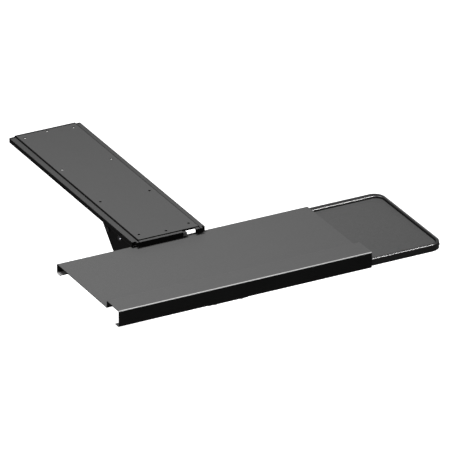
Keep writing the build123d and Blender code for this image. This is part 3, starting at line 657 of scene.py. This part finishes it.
def mouseTray():
    low, high = (Vector(corner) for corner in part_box("mouse_tray"))
    crown = Vector((0, 0, traySize["crown"]))
    tray = addBox((low + high - crown) / 2, high - low - crown)
    settle()
    mesh = tray.data
    # outline and the outer half of the rim's crown
    pick(mesh, "edges", uprightEdges(mesh, high.x))
    bpy.ops.mesh.bevel(offset=traySize["rightCorner"], segments=traySize["rightSteps"])
    pick(mesh, "polygons", facesUp)
    insetRound(traySize["crown"], traySize["crownSteps"], True)
    bpy.ops.mesh.inset(thickness=traySize["rim"] - 2 * traySize["crown"])
    bpy.ops.object.mode_set(mode="OBJECT")
    # the rear rim is made broader before the inner half falls to the seat
    seat = next(face for face in mesh.polygons if face.select)
    seatFace, seatPoints = seat.index, set(seat.vertices)
    rearArc = high.y - traySize["rightCorner"] - traySize["margin"]
    pick(mesh, "vertices", lambda point: point.index in seatPoints and point.co.y > rearArc)
    broader = traySize["rearRimExtra"] + traySize["rearRimGain"]
    bpy.ops.transform.translate(value=(0, -broader, 0))
    pick(mesh, "polygons", lambda face: face.index == seatFace)
    insetRound(traySize["crown"], traySize["crownSteps"], False)
    fall = traySize["seatDepth"] - traySize["crown"]
    bpy.ops.mesh.extrude_region_move(TRANSFORM_OT_translate={"value": (0, 0, -fall)})
    # hollow from below, cut the hidden end's corners and add the ribs
    ceiling = high.z - traySize["seatDepth"] - traySize["floor"]
    pick(mesh, "polygons", facesDown)
    bpy.ops.mesh.inset(thickness=traySize["wall"])
    bpy.ops.mesh.extrude_region_move(TRANSFORM_OT_translate={"value": (0, 0, ceiling - low.z)})
    bpy.ops.object.mode_set(mode="OBJECT")
    # where ribs cross their undersides are level, and this solver joins them the same way each run
    cutWith(tray, trayEnvelope(low, high), "INTERSECT", "MANIFOLD")
    for centre, size in trayRibs(low, high, ceiling):
        rib = addBox(centre, size)
        settle()
        cutWith(tray, rib, "UNION", "MANIFOLD")
    finishPiece(tray, "mouseTrayShell", "tray", "tray_plastic")
    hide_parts("mouse_tray")


def mousePad():
    # the pad lies loose in the seat, so a dark gap runs round it
    low, high = (Vector(corner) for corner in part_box("mouse_tray_mat"))
    high.y -= traySize["rearRimGain"]
    gap = Vector((1, 1, 0)) * padSize["gap"]
    pad = addBox((low + high) / 2, high - low - 2 * gap)
    settle()
    corner = traySize["rightCorner"] - traySize["rim"] - padSize["gap"]
    rightEdge, tall = high.x - padSize["gap"], (high.z - low.z) / 2
    pick(pad.data, "edges", uprightEdges(pad.data, rightEdge, tall))
    bpy.ops.mesh.bevel(offset=corner, segments=padSize["cornerSteps"])
    bpy.ops.object.mode_set(mode="OBJECT")
    finishPiece(pad, "mousePad", "tray", "mat_sheet", padSize["edge"])
    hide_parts("mouse_tray_mat")


sideRivet()
mouseTray()
mousePad()
print("rivet and mouse tray made")
retainingClips("liftClip", "lift_shaft_rings", "bracket")
retainingClips("armFrontClip", "arm_front_rings", "arm")
retainingClips("tiltClip", "tilt_shaft_rings", "platform")
bracketScrews()
print("clips and screws made")
clampKnob("liftKnobBody", "lift_clamp_knob", "lift_knob", 1)
clampKnob("tiltKnobBody", "tilt_clamp_knob", "tilt_knob", -1)
print("clamp knobs made")


# Floor, lights and camera

stageLook = {
    "floor": "#f4f4f4", "floorDrop": 0.42, "size": 60.0, "roughness": 0.9,
    "glow": 0.88,              # the floor shows white to the camera
    "bounce": "#b4b4b4",       # what the floor throws back onto the underside
    "bounceInGloss": "#404040",
    "floorInGloss": 0.1, "worldInGloss": 0.35, "worldInDiffuse": 0.2,    # shares of the pale studio
}


def paleRays(tree, inGloss):
    # how much of the pale studio a ray sees: all from the camera and through glass, some in gloss
    lightPath = addNode(tree, "ShaderNodeLightPath")
    gloss = addNode(tree, "ShaderNodeMath", {"operation": "MULTIPLY"}, {1: inGloss},
                    {0: lightPath.outputs["Is Glossy Ray"]})
    straight = addNode(tree, "ShaderNodeMath", {"operation": "MAXIMUM"}, None,
                       {0: lightPath.outputs["Is Camera Ray"],
                        1: lightPath.outputs["Is Transmission Ray"]})
    return addNode(tree, "ShaderNodeMath", {"operation": "MAXIMUM"}, None,
                   {0: straight, 1: gloss})


def paleStage():
    bpy.ops.mesh.primitive_plane_add(size=stageLook["size"],
                                     location=(0, 0, -stageLook["floorDrop"]))
    floor = bpy.context.object
    floor.name = "studioFloor"
    material, tree, shader, _ = newMaterial("paleFloor")
    feedNode(tree, shader, {"Base Color": hexColor(stageLook["floor"]),
                            "Roughness": stageLook["roughness"], "Specular IOR Level": 0.0})
    glow = addNode(tree, "ShaderNodeEmission", None,
                   {"Color": (1, 1, 1, 1), "Strength": stageLook["glow"]})
    bright = addNode(tree, "ShaderNodeAddShader", None, None, {0: shader, 1: glow})
    # the floor lights the underside well, but shows dark in the coat's gloss
    lightPath = addNode(tree, "ShaderNodeLightPath")
    tint = addNode(tree, "ShaderNodeMix", mixColors,
                   {colorA: hexColor(stageLook["bounce"]),
                    colorB: hexColor(stageLook["bounceInGloss"])},
                   {"Factor": lightPath.outputs["Is Glossy Ray"]})
    bounce = addNode(tree, "ShaderNodeBsdfDiffuse", None, None,
                     {"Color": tint.outputs[mixedColor]})
    surface = addNode(tree, "ShaderNodeMixShader", None, None,
                      {0: paleRays(tree, stageLook["floorInGloss"]), 1: bounce, 2: bright})
    feedNode(tree, tree.nodes["Material Output"], None, {"Surface": surface})
    floor.data.materials.append(material)


def paleWorld():
    world = bpy.context.scene.world or bpy.data.worlds.new("studio")
    bpy.context.scene.world = world
    world.use_nodes = True
    tree = world.node_tree
    strength = addNode(tree, "ShaderNodeMapRange", None,
                       {"To Min": stageLook["worldInDiffuse"], "To Max": 1.0},
                       {"Value": paleRays(tree, stageLook["worldInGloss"])})
    feedNode(tree, tree.nodes["Background"], {"Color": (1, 1, 1, 1)}, {"Strength": strength})


lampPlan = {
    # name: place, size, power in watts
    "overheadPanel": ((-0.42, -0.28, 1.5), 0.7, 33),
    "edgeLamp": ((1.15, -1.39, 1.99), 0.5, 220),
    "sideLamp": ((-1.46, -1.1, -0.3), 0.35, 90),
}
lampTarget = (0.1, -0.25, 0)


def aim(thing, place, target):
    thing.location = place
    thing.rotation_euler = (Vector(target) - Vector(place)).to_track_quat("-Z", "Y").to_euler()


def softLamps():
    for name, (place, size, power) in lampPlan.items():
        lamp = bpy.data.lights.new(name, "AREA")
        lamp.shape, lamp.size, lamp.energy = "SQUARE", size, power
        holder = bpy.data.objects.new(name, lamp)
        bpy.context.collection.objects.link(holder)
        holder.visible_diffuse = name == "overheadPanel"    # the others only glint on bends
        aim(holder, place, lampTarget)


cameraPlan = {
    "place": (-5.1610, -10.2341, 5.4670), "target": (0.1019, -0.2525, -0.0018),
    "lens": 582.5, "sensor": 36, "sight": 200,
}


def photoCamera():
    # far and long, as the picture's nearly parallel edges ask
    data = bpy.data.cameras.new("photoCamera")
    camera = bpy.data.objects.new("photoCamera", data)
    bpy.context.collection.objects.link(camera)
    aim(camera, cameraPlan["place"], cameraPlan["target"])
    data.lens, data.clip_end = cameraPlan["lens"], cameraPlan["sight"]
    data.sensor_width, data.sensor_fit = cameraPlan["sensor"], "HORIZONTAL"
    bpy.context.scene.camera = camera


paleStage()
paleWorld()
softLamps()
photoCamera()
bpy.context.scene.view_settings.view_transform = "Standard"
print("stage, lamps and camera set")
